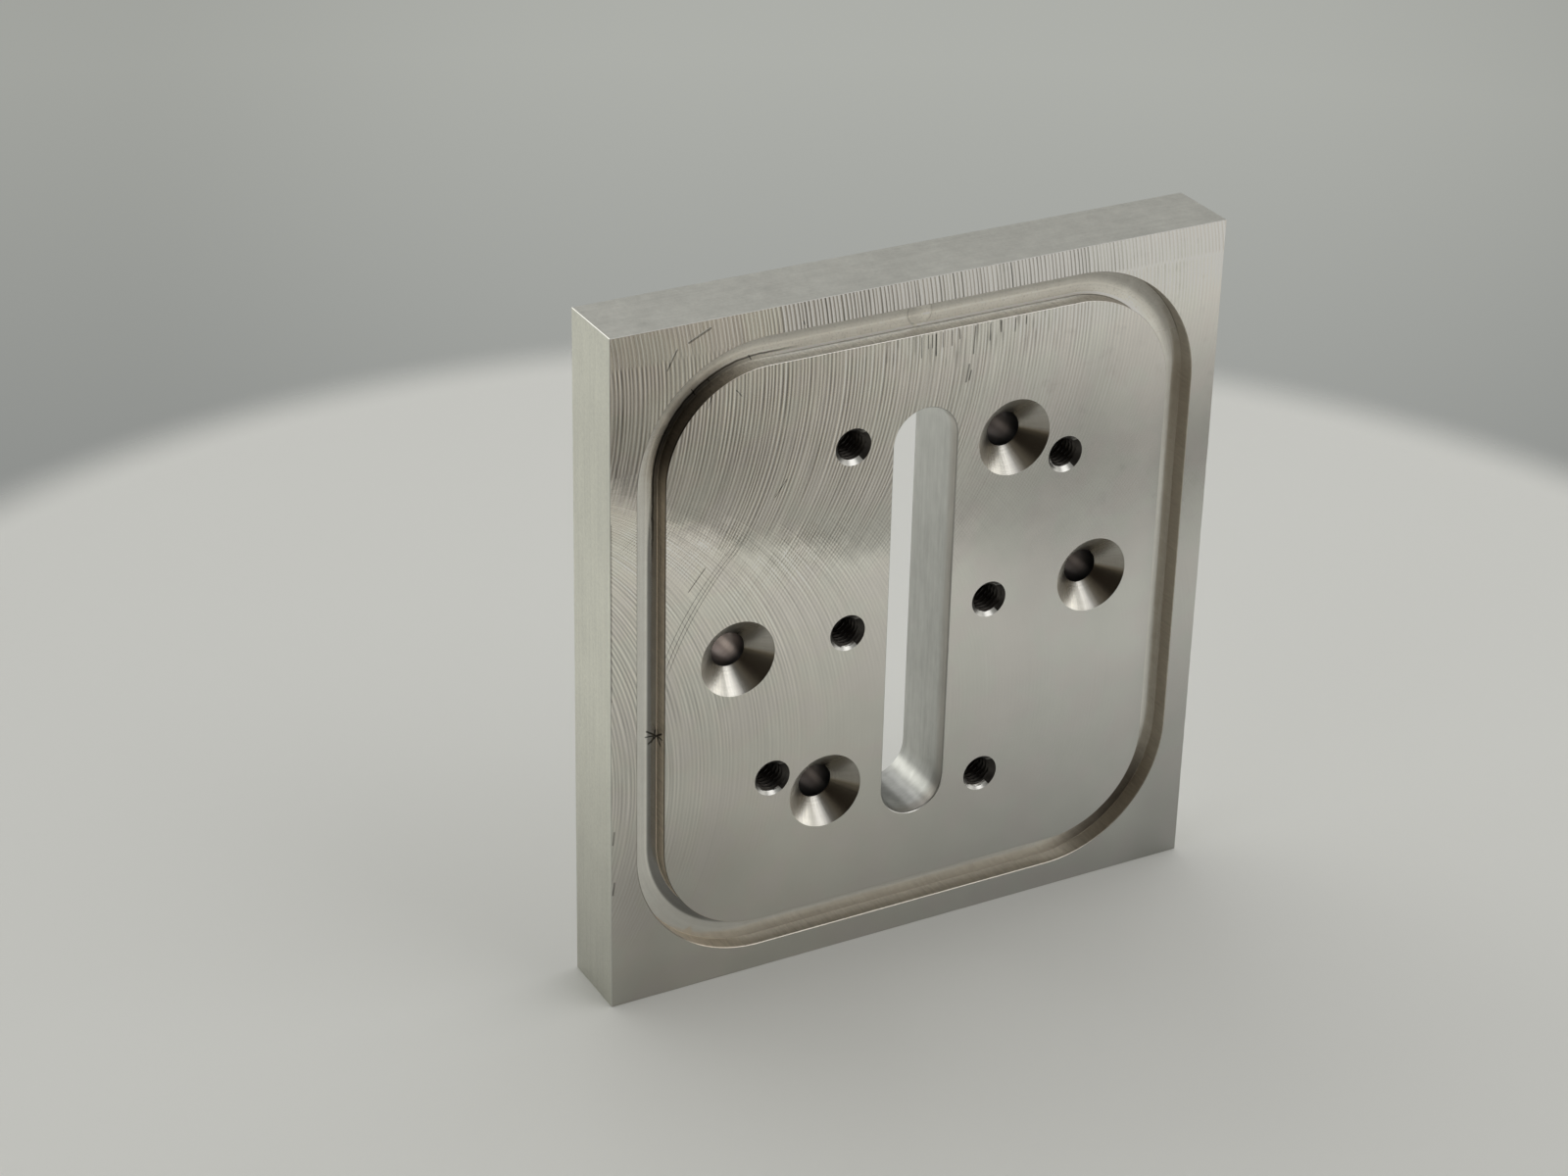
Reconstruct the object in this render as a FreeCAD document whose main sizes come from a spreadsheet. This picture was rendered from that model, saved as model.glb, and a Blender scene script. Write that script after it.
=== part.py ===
import FreeCAD, Part
import os
import math
import Sketcher

V = FreeCAD.Vector

# ---------------------------------------------------------------------------
# A small face-milled aluminium plate that stands on its lower short edge.
# One solid: flat plate, rounded-rectangle cord-seal groove in the front face,
# long round-ended slot through the middle, four countersunk screw holes on a
# pitch circle and six tapped holes.
# Frame: origin at the middle of the lower edge face, +Z up the plate,
# front (grooved) face towards -Y, plate thickness centred on Y = 0.
# Millimetres.
# ---------------------------------------------------------------------------

doc = FreeCAD.newDocument("seal_plate")

# ----- driving dimensions ----------------------------------------------------
SIZES = [
    ("plate_width",        50.0,  "overall width along X"),
    ("plate_height",       54.0,  "overall height along Z"),
    ("plate_thick",         6.0,  "thickness along Y"),
    ("edge_break",          0.1,  "chamfer on the twelve outer edges"),
    ("rim_width",           2.1,  "plate edge to the groove's outer wall"),
    ("groove_width",        2.2,  "seal groove, wall to wall"),
    ("groove_depth",        1.35, "seal groove, face to floor"),
    ("groove_outer_rad",   10.2,  "corner radius of the groove's outer wall"),
    ("pattern_shift",       0.15, "slot and holes, X of their middle from the plate's middle"),
    ("slot_width",          5.3,  "round-ended slot, side to side"),
    ("slot_centres",       28.4,  "slot, end centre to end centre"),
    ("slot_break",          0.05, "edge break at the slot's two mouths"),
    ("screw_pcd",          30.0,  "pitch circle of the countersunk holes"),
    ("screw_angle",        60.0,  "angle between the two pairs, degrees"),
    ("screw_bore",          2.7,  "close clearance hole for an M2.5 screw"),
    ("screw_sink",          6.0,  "countersink mouth diameter"),
    ("screw_sink_angle",   90.0,  "countersink included angle, degrees"),
    ("tap_core",            2.05, "core hole of an M2.5 x 0.45 thread"),
    ("tap_mouth",           2.9,  "mouth of the thread's lead-in chamfer"),
    ("tap_x",               6.0,  "tapped holes beside the slot, from centre"),
    ("tap_z",              15.0,  "tapped holes near the slot ends, from centre"),
    ("tap_side_x",         12.0,  "tapped holes beside the sinks, X from centre"),
    ("tap_side_z",         10.7,  "tapped holes beside the sinks, Z from centre"),
    ("back_break",          0.12, "edge break of the hole mouths on the back"),
]
sheet = doc.addObject("Spreadsheet::Sheet", "dims")
for i, (name, value, note) in enumerate(SIZES):
    row = i + 1
    sheet.set("A%d" % row, name)
    sheet.set("B%d" % row, repr(value))
    sheet.set("C%d" % row, note)
    sheet.setAlias("B%d" % row, name)
doc.recompute()
D = {name: float(sheet.get(name)) for name, _, _ in SIZES}


def origin_plane(body, role):
    for f in body.Origin.OriginFeatures:
        if f.Role == role:
            return f
    raise RuntimeError("no origin plane " + role)


def face_sketch(body, name, lift, shifted=False):
    """A sketch parallel to the XZ plane. Its normal points to -Y, so a lift
    of half the thickness lies on the front face, minus half on the back.
    A shifted one has its origin at the middle of the slot and holes."""
    sk = body.newObject("Sketcher::SketchObject", name)
    sk.AttachmentSupport = [(origin_plane(body, "XZ_Plane"), "")]
    sk.MapMode = "FlatFace"
    # sketch x = +X, sketch y = +Z; the sketch origin sits at mid height
    sk.AttachmentOffset = FreeCAD.Placement(V(0, D["plate_height"] / 2, 0), FreeCAD.Rotation())
    sk.setExpression("AttachmentOffset.Base.y", "dims.plate_height / 2")
    if shifted:
        sk.setExpression("AttachmentOffset.Base.x", "dims.pattern_shift")
    if lift:
        sk.setExpression("AttachmentOffset.Base.z", lift)
    return sk


def drive(sk, index, name, expr):
    sk.renameConstraint(index, name)
    sk.setExpression("Constraints." + name, expr)


def rounded_rect(sk, hx, hz, r, exprs, tag):
    """Rounded rectangle centred on the sketch origin: four lines, four arcs,
    tangent all round, driven by its width, height and corner radius."""
    lines = [
        Part.LineSegment(V(-hx + r, hz, 0), V(hx - r, hz, 0)),
        Part.LineSegment(V(hx, hz - r, 0), V(hx, -hz + r, 0)),
        Part.LineSegment(V(hx - r, -hz, 0), V(-hx + r, -hz, 0)),
        Part.LineSegment(V(-hx, -hz + r, 0), V(-hx, hz - r, 0)),
    ]
    up = V(0, 0, 1)

    def arc(cx, cy, a0, a1):
        return Part.ArcOfCircle(Part.Circle(V(cx, cy, 0), up, r), math.radians(a0), math.radians(a1))

    arcs = [
        arc(hx - r, hz - r, 0, 90),
        arc(hx - r, -hz + r, 270, 360),
        arc(-hx + r, -hz + r, 180, 270),
        arc(-hx + r, hz - r, 90, 180),
    ]
    l = [sk.addGeometry(g, False) for g in lines]
    a = [sk.addGeometry(g, False) for g in arcs]
    C = Sketcher.Constraint
    # arc k joins line k (its end) to line k+1 (its start); arcs run
    # anticlockwise, so their end meets line k and their start line k+1
    for k in range(4):
        sk.addConstraint(C("Tangent", l[k], 2, a[k], 2))
        sk.addConstraint(C("Tangent", a[k], 1, l[(k + 1) % 4], 1))
    sk.addConstraint(C("Horizontal", l[0]))
    sk.addConstraint(C("Vertical", l[1]))
    sk.addConstraint(C("Horizontal", l[2]))
    sk.addConstraint(C("Vertical", l[3]))
    for k in range(1, 4):
        sk.addConstraint(C("Equal", a[0], a[k]))
    sk.addConstraint(C("Symmetric", a[0], 3, a[2], 3, -1, 1))
    drive(sk, sk.addConstraint(C("Radius", a[0], r)), tag + "_radius", exprs[2])
    drive(sk, sk.addConstraint(C("Distance", l[3], 1, l[1], 2 * hx)), tag + "_width", exprs[0])
    drive(sk, sk.addConstraint(C("Distance", l[2], 1, l[0], 2 * hz)), tag + "_height", exprs[1])


def hole_circles(sk, radius_expr, radius, places):
    """Circles at (x, z) from the plate centre, each place bound to the sheet."""
    C = Sketcher.Constraint
    first = None
    for i, (x, z, ex, ez) in enumerate(places):
        g = sk.addGeometry(Part.Circle(V(x, z, 0), V(0, 0, 1), radius), False)
        if first is None:
            first = g
            drive(sk, sk.addConstraint(C("Radius", g, radius)), "hole_radius", radius_expr)
        else:
            sk.addConstraint(C("Equal", first, g))
        if abs(x) < 1e-9:
            sk.addConstraint(C("PointOnObject", g, 3, -2))
        else:
            drive(sk, sk.addConstraint(C("DistanceX", -1, 1, g, 3, x)), "place%d_x" % i, ex)
        if abs(z) < 1e-9:
            sk.addConstraint(C("PointOnObject", g, 3, -1))
        else:
            drive(sk, sk.addConstraint(C("DistanceY", -1, 1, g, 3, z)), "place%d_z" % i, ez)


def must_cut(label, before, after, low, high):
    taken = before - after
    if not low < taken < high:
        raise RuntimeError("%s took %.3f mm3, expected %.3f to %.3f" % (label, taken, low, high))
    print("%-14s removed %8.3f mm3" % (label, taken))


# ----- the plate -------------------------------------------------------------
body = doc.addObject("PartDesign::Body", "plate_body")
body.Label = "plate"

# blank: rectangle, width by height, padded both ways from Y = 0
blank = face_sketch(body, "blank_outline", None)
w, h = D["plate_width"], D["plate_height"]
corner = [V(-w / 2, -h / 2, 0), V(w / 2, -h / 2, 0), V(w / 2, h / 2, 0), V(-w / 2, h / 2, 0)]
edges = [blank.addGeometry(Part.LineSegment(corner[k], corner[(k + 1) % 4]), False) for k in range(4)]
C = Sketcher.Constraint
for k in range(4):
    blank.addConstraint(C("Coincident", edges[k], 2, edges[(k + 1) % 4], 1))
blank.addConstraint(C("Horizontal", edges[0]))
blank.addConstraint(C("Vertical", edges[1]))
blank.addConstraint(C("Horizontal", edges[2]))
blank.addConstraint(C("Vertical", edges[3]))
blank.addConstraint(C("Symmetric", edges[0], 1, edges[2], 1, -1, 1))
drive(blank, blank.addConstraint(C("DistanceX", edges[0], 1, edges[0], 2, w)), "blank_width", "dims.plate_width")
drive(blank, blank.addConstraint(C("DistanceY", edges[1], 1, edges[1], 2, h)), "blank_height", "dims.plate_height")

pad = body.newObject("PartDesign::Pad", "blank_pad")
pad.Profile = blank
pad.Midplane = True
pad.Length = D["plate_thick"]
pad.setExpression("Length", "dims.plate_thick")
doc.recompute()

# outer edges broken all round
rim_break = body.newObject("PartDesign::Chamfer", "edge_break")
rim_break.Base = (pad, ["Edge%d" % (k + 1) for k in range(len(pad.Shape.Edges))])
rim_break.Size = D["edge_break"]
rim_break.setExpression("Size", "dims.edge_break")
doc.recompute()
v_blank = rim_break.Shape.Volume

# seal groove: ring between two rounded rectangles, cut from the front face
ring = face_sketch(body, "groove_outline", "dims.plate_thick / 2")
ro = D["rim_width"]
ri = ro + D["groove_width"]
rr = D["groove_outer_rad"]
rounded_rect(ring, w / 2 - ro, h / 2 - ro, rr,
             ("dims.plate_width - 2 * dims.rim_width",
              "dims.plate_height - 2 * dims.rim_width",
              "dims.groove_outer_rad"), "outer")
rounded_rect(ring, w / 2 - ri, h / 2 - ri, rr - D["groove_width"],
             ("dims.plate_width - 2 * dims.rim_width - 2 * dims.groove_width",
              "dims.plate_height - 2 * dims.rim_width - 2 * dims.groove_width",
              "dims.groove_outer_rad - dims.groove_width"), "inner")
groove = body.newObject("PartDesign::Pocket", "seal_groove")
groove.Profile = ring
groove.Type = 0
groove.Length = D["groove_depth"]
groove.setExpression("Length", "dims.groove_depth")
groove.Reversed = False
doc.recompute()


def rr_area(a, b, r):
    return a * b - (4 - math.pi) * r * r


groove_area = (rr_area(w - 2 * ro, h - 2 * ro, rr) - rr_area(w - 2 * ri, h - 2 * ri, rr - D["groove_width"]))
expect = groove_area * D["groove_depth"]
must_cut("seal groove", v_blank, groove.Shape.Volume, expect * 0.999, expect * 1.001)
v_groove = groove.Shape.Volume

# slot: two sides and two round ends, through the plate
sw, sc = D["slot_width"], D["slot_centres"]
oblong = face_sketch(body, "slot_outline", "dims.plate_thick / 2", shifted=True)
r = sw / 2
right = oblong.addGeometry(Part.LineSegment(V(r, sc / 2, 0), V(r, -sc / 2, 0)), False)
left = oblong.addGeometry(Part.LineSegment(V(-r, -sc / 2, 0), V(-r, sc / 2, 0)), False)
top = oblong.addGeometry(Part.ArcOfCircle(Part.Circle(V(0, sc / 2, 0), V(0, 0, 1), r), 0, math.pi), False)
low = oblong.addGeometry(Part.ArcOfCircle(Part.Circle(V(0, -sc / 2, 0), V(0, 0, 1), r), math.pi, 2 * math.pi), False)
oblong.addConstraint(C("Tangent", top, 1, right, 1))
oblong.addConstraint(C("Tangent", right, 2, low, 2))
oblong.addConstraint(C("Tangent", low, 1, left, 1))
oblong.addConstraint(C("Tangent", left, 2, top, 2))
oblong.addConstraint(C("Vertical", right))
oblong.addConstraint(C("Vertical", left))
oblong.addConstraint(C("Symmetric", top, 3, low, 3, -1, 1))
drive(oblong, oblong.addConstraint(C("Radius", top, r)), "end_radius", "dims.slot_width / 2")
drive(oblong, oblong.addConstraint(C("DistanceY", low, 3, top, 3, sc)), "end_centres", "dims.slot_centres")
slot = body.newObject("PartDesign::Pocket", "slot_cut")
slot.Profile = oblong
slot.Type = 1
slot.Reversed = False
doc.recompute()
expect = (sw * sc + math.pi * r * r) * D["plate_thick"]
must_cut("slot", v_groove, slot.Shape.Volume, expect * 0.999, expect * 1.001)
v_slot = slot.Shape.Volume

# countersunk screw holes: two pairs on one pitch circle, 0/180 and 60/240 deg
pr = D["screw_pcd"] / 2
ang = math.radians(D["screw_angle"])
spots = face_sketch(body, "screw_spots", "dims.plate_thick / 2", shifted=True)
hole_circles(spots, "dims.screw_bore / 2", D["screw_bore"] / 2, [
    (pr, 0.0, "dims.screw_pcd / 2", None),
    (-pr, 0.0, "-dims.screw_pcd / 2", None),
    (pr * math.cos(ang), pr * math.sin(ang),
     "dims.screw_pcd / 2 * cos(dims.screw_angle * 1 deg)", "dims.screw_pcd / 2 * sin(dims.screw_angle * 1 deg)"),
    (-pr * math.cos(ang), -pr * math.sin(ang),
     "-dims.screw_pcd / 2 * cos(dims.screw_angle * 1 deg)", "-dims.screw_pcd / 2 * sin(dims.screw_angle * 1 deg)"),
])
doc.recompute()
screws = body.newObject("PartDesign::Hole", "screw_holes")
screws.Profile = spots
doc.recompute()
screws.Threaded = False
screws.DepthType = "ThroughAll"
screws.Diameter = D["screw_bore"]
screws.setExpression("Diameter", "dims.screw_bore")
screws.HoleCutType = "Countersink"
screws.HoleCutCustomValues = True
screws.HoleCutDiameter = D["screw_sink"]
screws.HoleCutCountersinkAngle = D["screw_sink_angle"]
screws.setExpression("HoleCutDiameter", "dims.screw_sink")
screws.setExpression("HoleCutCountersinkAngle", "dims.screw_sink_angle")
doc.recompute()
rb, rs = D["screw_bore"] / 2, D["screw_sink"] / 2
depth = (rs - rb) / math.tan(math.radians(D["screw_sink_angle"] / 2))
cone = math.pi * depth / 3 * (rs * rs + rs * rb + rb * rb)
expect = 4 * (cone + math.pi * rb * rb * (D["plate_thick"] - depth))
must_cut("screw holes", v_slot, screws.Shape.Volume, expect * 0.998, expect * 1.002)
v_screw = screws.Shape.Volume

# tapped holes: drilled through at core size, with a 90 degree lead-in chamfer
taps_sk = face_sketch(body, "tap_spots", "dims.plate_thick / 2", shifted=True)
tx, tz, sx, sz = D["tap_x"], D["tap_z"], D["tap_side_x"], D["tap_side_z"]
hole_circles(taps_sk, "dims.tap_core / 2", D["tap_core"] / 2, [
    (-tx, tz, "-dims.tap_x", "dims.tap_z"),
    (-tx, 0.0, "-dims.tap_x", None),
    (tx, 0.0, "dims.tap_x", None),
    (tx, -tz, "dims.tap_x", "-dims.tap_z"),
    (sx, sz, "dims.tap_side_x", "dims.tap_side_z"),
    (-sx, -sz, "-dims.tap_side_x", "-dims.tap_side_z"),
])
doc.recompute()
taps = body.newObject("PartDesign::Hole", "tapped_holes")
taps.Profile = taps_sk
doc.recompute()
taps.Threaded = False
taps.DepthType = "ThroughAll"
taps.Diameter = D["tap_core"]
taps.setExpression("Diameter", "dims.tap_core")
taps.HoleCutType = "Countersink"
taps.HoleCutCustomValues = True
taps.HoleCutDiameter = D["tap_mouth"]
taps.HoleCutCountersinkAngle = 90.0
taps.setExpression("HoleCutDiameter", "dims.tap_mouth")
doc.recompute()
rb, rs = D["tap_core"] / 2, D["tap_mouth"] / 2
depth = rs - rb
cone = math.pi * depth / 3 * (rs * rs + rs * rb + rb * rb)
expect = 6 * (cone + math.pi * rb * rb * (D["plate_thick"] - depth))
must_cut("tapped holes", v_screw, taps.Shape.Volume, expect * 0.998, expect * 1.002)

# edge break at both mouths of the slot, and at the hole mouths on the back
half = D["plate_thick"] / 2


def edges_where(shape, test):
    return ["Edge%d" % (k + 1) for k, e in enumerate(shape.Edges) if test(e)]


def on_slot_mouth(e):
    b = e.BoundBox
    flat = abs(b.YMin - b.YMax) < 1e-6 and abs(abs(b.YMin) - half) < 1e-6
    shift = D["pattern_shift"]
    inside = max(abs(b.XMin - shift), abs(b.XMax - shift)) < sw / 2 + 1e-3
    return flat and inside


slot_break = body.newObject("PartDesign::Chamfer", "slot_break")
slot_break.Base = (taps, edges_where(taps.Shape, on_slot_mouth))
slot_break.Size = D["slot_break"]
slot_break.setExpression("Size", "dims.slot_break")
doc.recompute()


def on_back_hole(e):
    b = e.BoundBox
    if abs(b.YMin - half) > 1e-6 or abs(b.YMax - half) > 1e-6:
        return False
    if not isinstance(e.Curve, Part.Circle):
        return False
    return abs(e.Curve.Center.x) > sw / 2 + 0.5


back_break = body.newObject("PartDesign::Chamfer", "back_break")
back_break.Base = (slot_break, edges_where(slot_break.Shape, on_back_hole))
back_break.Size = D["back_break"]
back_break.setExpression("Size", "dims.back_break")
body.Tip = back_break
doc.recompute()

# ----- checks and export -----------------------------------------------------
for sk in (blank, ring, oblong, spots, taps_sk):
    if not sk.FullyConstrained:
        print("not fully constrained:", sk.Name)
for obj in doc.Objects:
    bad = [s for s in obj.State if s in ("Invalid", "Error")]
    if bad:
        raise RuntimeError("%s is %s" % (obj.Name, bad))

os.makedirs("parts", exist_ok=True)
for part in (body,):
    shape = part.Shape
    if shape.isNull() or not shape.isValid() or len(shape.Solids) != 1:
        raise RuntimeError(part.Label + " has a bad shape")
    bb = shape.BoundBox
    print("%s: %d faces, volume %.2f mm3, X %.3f..%.3f Y %.3f..%.3f Z %.3f..%.3f" % (
        part.Label, len(shape.Faces), shape.Volume, bb.XMin, bb.XMax, bb.YMin, bb.YMax, bb.ZMin, bb.ZMax))
    shape.exportStep("parts/%s.step" % part.Label)
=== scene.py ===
import math

import bpy
import numpy as np
from mathutils import Matrix, Vector
from mathutils.geometry import delaunay_2d_cdt


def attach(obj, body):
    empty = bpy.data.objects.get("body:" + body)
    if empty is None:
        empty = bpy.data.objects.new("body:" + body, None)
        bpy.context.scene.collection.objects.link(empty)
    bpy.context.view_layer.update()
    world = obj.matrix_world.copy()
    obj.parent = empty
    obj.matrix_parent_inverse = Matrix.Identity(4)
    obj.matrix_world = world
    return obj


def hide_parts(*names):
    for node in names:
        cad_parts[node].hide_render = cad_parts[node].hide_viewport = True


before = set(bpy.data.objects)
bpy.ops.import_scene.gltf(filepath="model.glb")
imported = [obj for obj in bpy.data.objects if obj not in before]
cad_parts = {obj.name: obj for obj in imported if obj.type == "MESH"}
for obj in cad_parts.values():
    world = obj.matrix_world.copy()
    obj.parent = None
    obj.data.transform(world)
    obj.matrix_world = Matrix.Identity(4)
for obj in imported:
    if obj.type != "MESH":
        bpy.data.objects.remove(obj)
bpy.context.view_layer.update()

# ------------------------------------------------------------------ sizes, in mm, the same as the solid's
W, H, T = 50.0, 54.0, 6.0
ZC = H / 2
FRONT, BACK = -T / 2, T / 2
BREAK = 0.035
RIM, GROOVE, DEEP, R_OUT = 2.1, 2.2, 1.35, 10.2
SLOT_W, SLOT_C, SLOT_BREAK = 5.3, 28.4, 0.05
SHIFT = 0.15
SINKS = [(SHIFT + 15 * math.cos(math.radians(a)), 15 * math.sin(math.radians(a))) for a in (0, 60, 180, 240)]
BORE_R, SINK_R, BACK_BREAK = 1.35, 3.0, 0.12
TAPS = [(SHIFT + a, b) for a, b in ((-6.0, 15.0), (-6.0, 0.0), (6.0, 0.0), (6.0, -15.0), (12.0, 10.7), (-12.0, -10.7))]
CORE_R, MAJOR_R, MOUTH_R, PITCH = 1.025, 1.25, 1.45, 0.45
FLOOR = FRONT + DEEP


# ------------------------------------------------------------------ mesh building
class Build:
    """Collects patches of one piece in mm, then makes one mesh with shared vertices."""

    def __init__(self):
        self.v, self.f, self.m, self.n = [], [], [], 0

    def add(self, verts, faces, mat):
        verts = np.asarray(verts, float)
        self.v.append(verts)
        self.f += [tuple(i + self.n for i in f) for f in faces]
        self.m += [mat] * len(faces) if isinstance(mat, int) else list(mat)
        self.n += len(verts)

    def skin(self, loops, mat, out=False, closed=True):
        """Quads between rings of points. Their normals point at the ring's middle, or away from it with out."""
        n = len(loops[0])
        verts = np.concatenate(loops)
        faces = []
        for k in range(len(loops) - 1):
            for i in range(n if closed else n - 1):
                j = (i + 1) % n
                q = (k * n + i, k * n + j, (k + 1) * n + j, (k + 1) * n + i)
                faces.append(q[::-1] if out else q)
        if not isinstance(mat, int):
            mat = [mat[i] for _ in range(len(loops) - 1) for i in range(n if closed else n - 1)]
        self.add(verts, faces, mat)

    def sheet(self, loops, y, mat, away=False, holes_from=1, inside=()):
        """A flat sheet at depth y, bounded by loops[0], with the other loops cut out of it."""
        pts = [Vector(p) for l in loops for p in l] + [Vector(p) for p in inside]
        edges, at = [], 0
        for l in loops:
            edges += [(at + i, at + (i + 1) % len(l)) for i in range(len(l))]
            at += len(l)
        co, _, tris, *_ = delaunay_2d_cdt(pts, edges, [], 1, 1e-6)
        co = np.array([(p.x, p.y) for p in co])
        mid = np.array([co[list(t)].mean(0) for t in tris])
        keep = within(mid, loops[0])
        for l in loops[holes_from:]:
            keep &= ~within(mid, l)
        faces = []
        for t, ok in zip(tris, keep):
            if not ok:
                continue
            a, b, c = (co[i] for i in t)
            left = (b[0] - a[0]) * (c[1] - a[1]) - (b[1] - a[1]) * (c[0] - a[0]) > 0
            t = tuple(t)
            faces.append(t if left != away else t[::-1])
        self.add(np.stack([co[:, 0], np.full(len(co), y), co[:, 1] + ZC], 1), faces, mat)

    def make(self, name, mats, sharp=27.0):
        v = np.concatenate(self.v)
        key = np.round(v, 4)
        _, first, back = np.unique(key, axis=0, return_index=True, return_inverse=True)
        back = back.reshape(-1)
        v = v[first]
        faces, mat = [], []
        for f, m in zip(self.f, self.m):
            g = [int(back[i]) for i in f]
            g = [a for i, a in enumerate(g) if a != g[i - 1]]
            if len(set(g)) >= 3 and len(set(g)) == len(g):
                faces.append(g)
                mat.append(m)
        used = np.unique(np.concatenate([np.array(g) for g in faces]))
        to = {int(a): i for i, a in enumerate(used)}
        me = bpy.data.meshes.new(name)
        me.from_pydata((v[used] * 0.001).tolist(), [], [[to[a] for a in g] for g in faces])
        me.polygons.foreach_set("material_index", mat)
        for m in mats:
            me.materials.append(m)
        me.shade_smooth()
        me.set_sharp_from_angle(angle=math.radians(sharp))
        me.update()
        ob = bpy.data.objects.new(name, me)
        bpy.context.scene.collection.objects.link(ob)
        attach(ob, "root")
        return ob


def within(p, loop):
    loop = np.asarray(loop, float)
    x, z = p[:, 0], p[:, 1]
    inside = np.zeros(len(p), bool)
    for (x0, z0), (x1, z1) in zip(loop, np.roll(loop, -1, 0)):
        if z0 == z1:
            continue
        hit = ((z0 > z) != (z1 > z)) & (x < (x1 - x0) * (z - z0) / (z1 - z0) + x0)
        inside ^= hit
    return inside


def at_depth(loop, y):
    loop = np.asarray(loop, float)
    y = np.broadcast_to(y, (len(loop),))
    return np.stack([loop[:, 0], y, loop[:, 1] + ZC], 1)


def rounded(hx, hz, r, arc=36, nx=28, nz=34):
    """A rounded rectangle, anticlockwise from the front, with the same number of points at any offset."""
    corners = [(hx - r, r - hz, -90), (hx - r, hz - r, 0), (r - hx, hz - r, 90), (r - hx, r - hz, 180)]
    pts = []
    for i, (cx, cz, a0) in enumerate(corners):
        for k in range(arc + 1):
            a = math.radians(a0 + 90 * k / arc)
            pts.append((cx + r * math.cos(a), cz + r * math.sin(a)))
        nx_, nz_, a1 = corners[(i + 1) % 4]
        end = (nx_ + r * math.cos(math.radians(a1)), nz_ + r * math.sin(math.radians(a1)))
        n = nz if i in (0, 2) else nx
        p = pts[-1]
        pts += [(p[0] + (end[0] - p[0]) * k / n, p[1] + (end[1] - p[1]) * k / n) for k in range(1, n)]
    return np.array(pts)


def circle(cx, cz, r, n=96):
    a = np.arange(n) * 2 * math.pi / n
    return np.stack([cx + r * np.cos(a), cz + r * np.sin(a)], 1)


def long_hole(half, centres, n=40, straight=40):
    top = [(half * math.cos(math.pi * k / n), centres / 2 + half * math.sin(math.pi * k / n)) for k in range(n + 1)]
    left = [(-half, centres / 2 - centres * k / straight) for k in range(1, straight)]
    low = [(-a, -b) for a, b in top]
    right = [(half, -centres / 2 + centres * k / straight) for k in range(1, straight)]
    return np.array(top + left + low + right)


def wobble(n, seed, amount, waves=(3, 40)):
    """A smooth closed run of n small numbers around 0."""
    rng = np.random.default_rng(seed)
    s = np.arange(n) * 2 * math.pi / n
    out = np.zeros(n)
    for k in range(*waves):
        out += math.cos(rng.uniform(0, 6.28)) * np.sin(k * s + rng.uniform(0, 6.28)) / math.sqrt(k)
    return amount * out / max(1e-9, np.abs(out).max())


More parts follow.
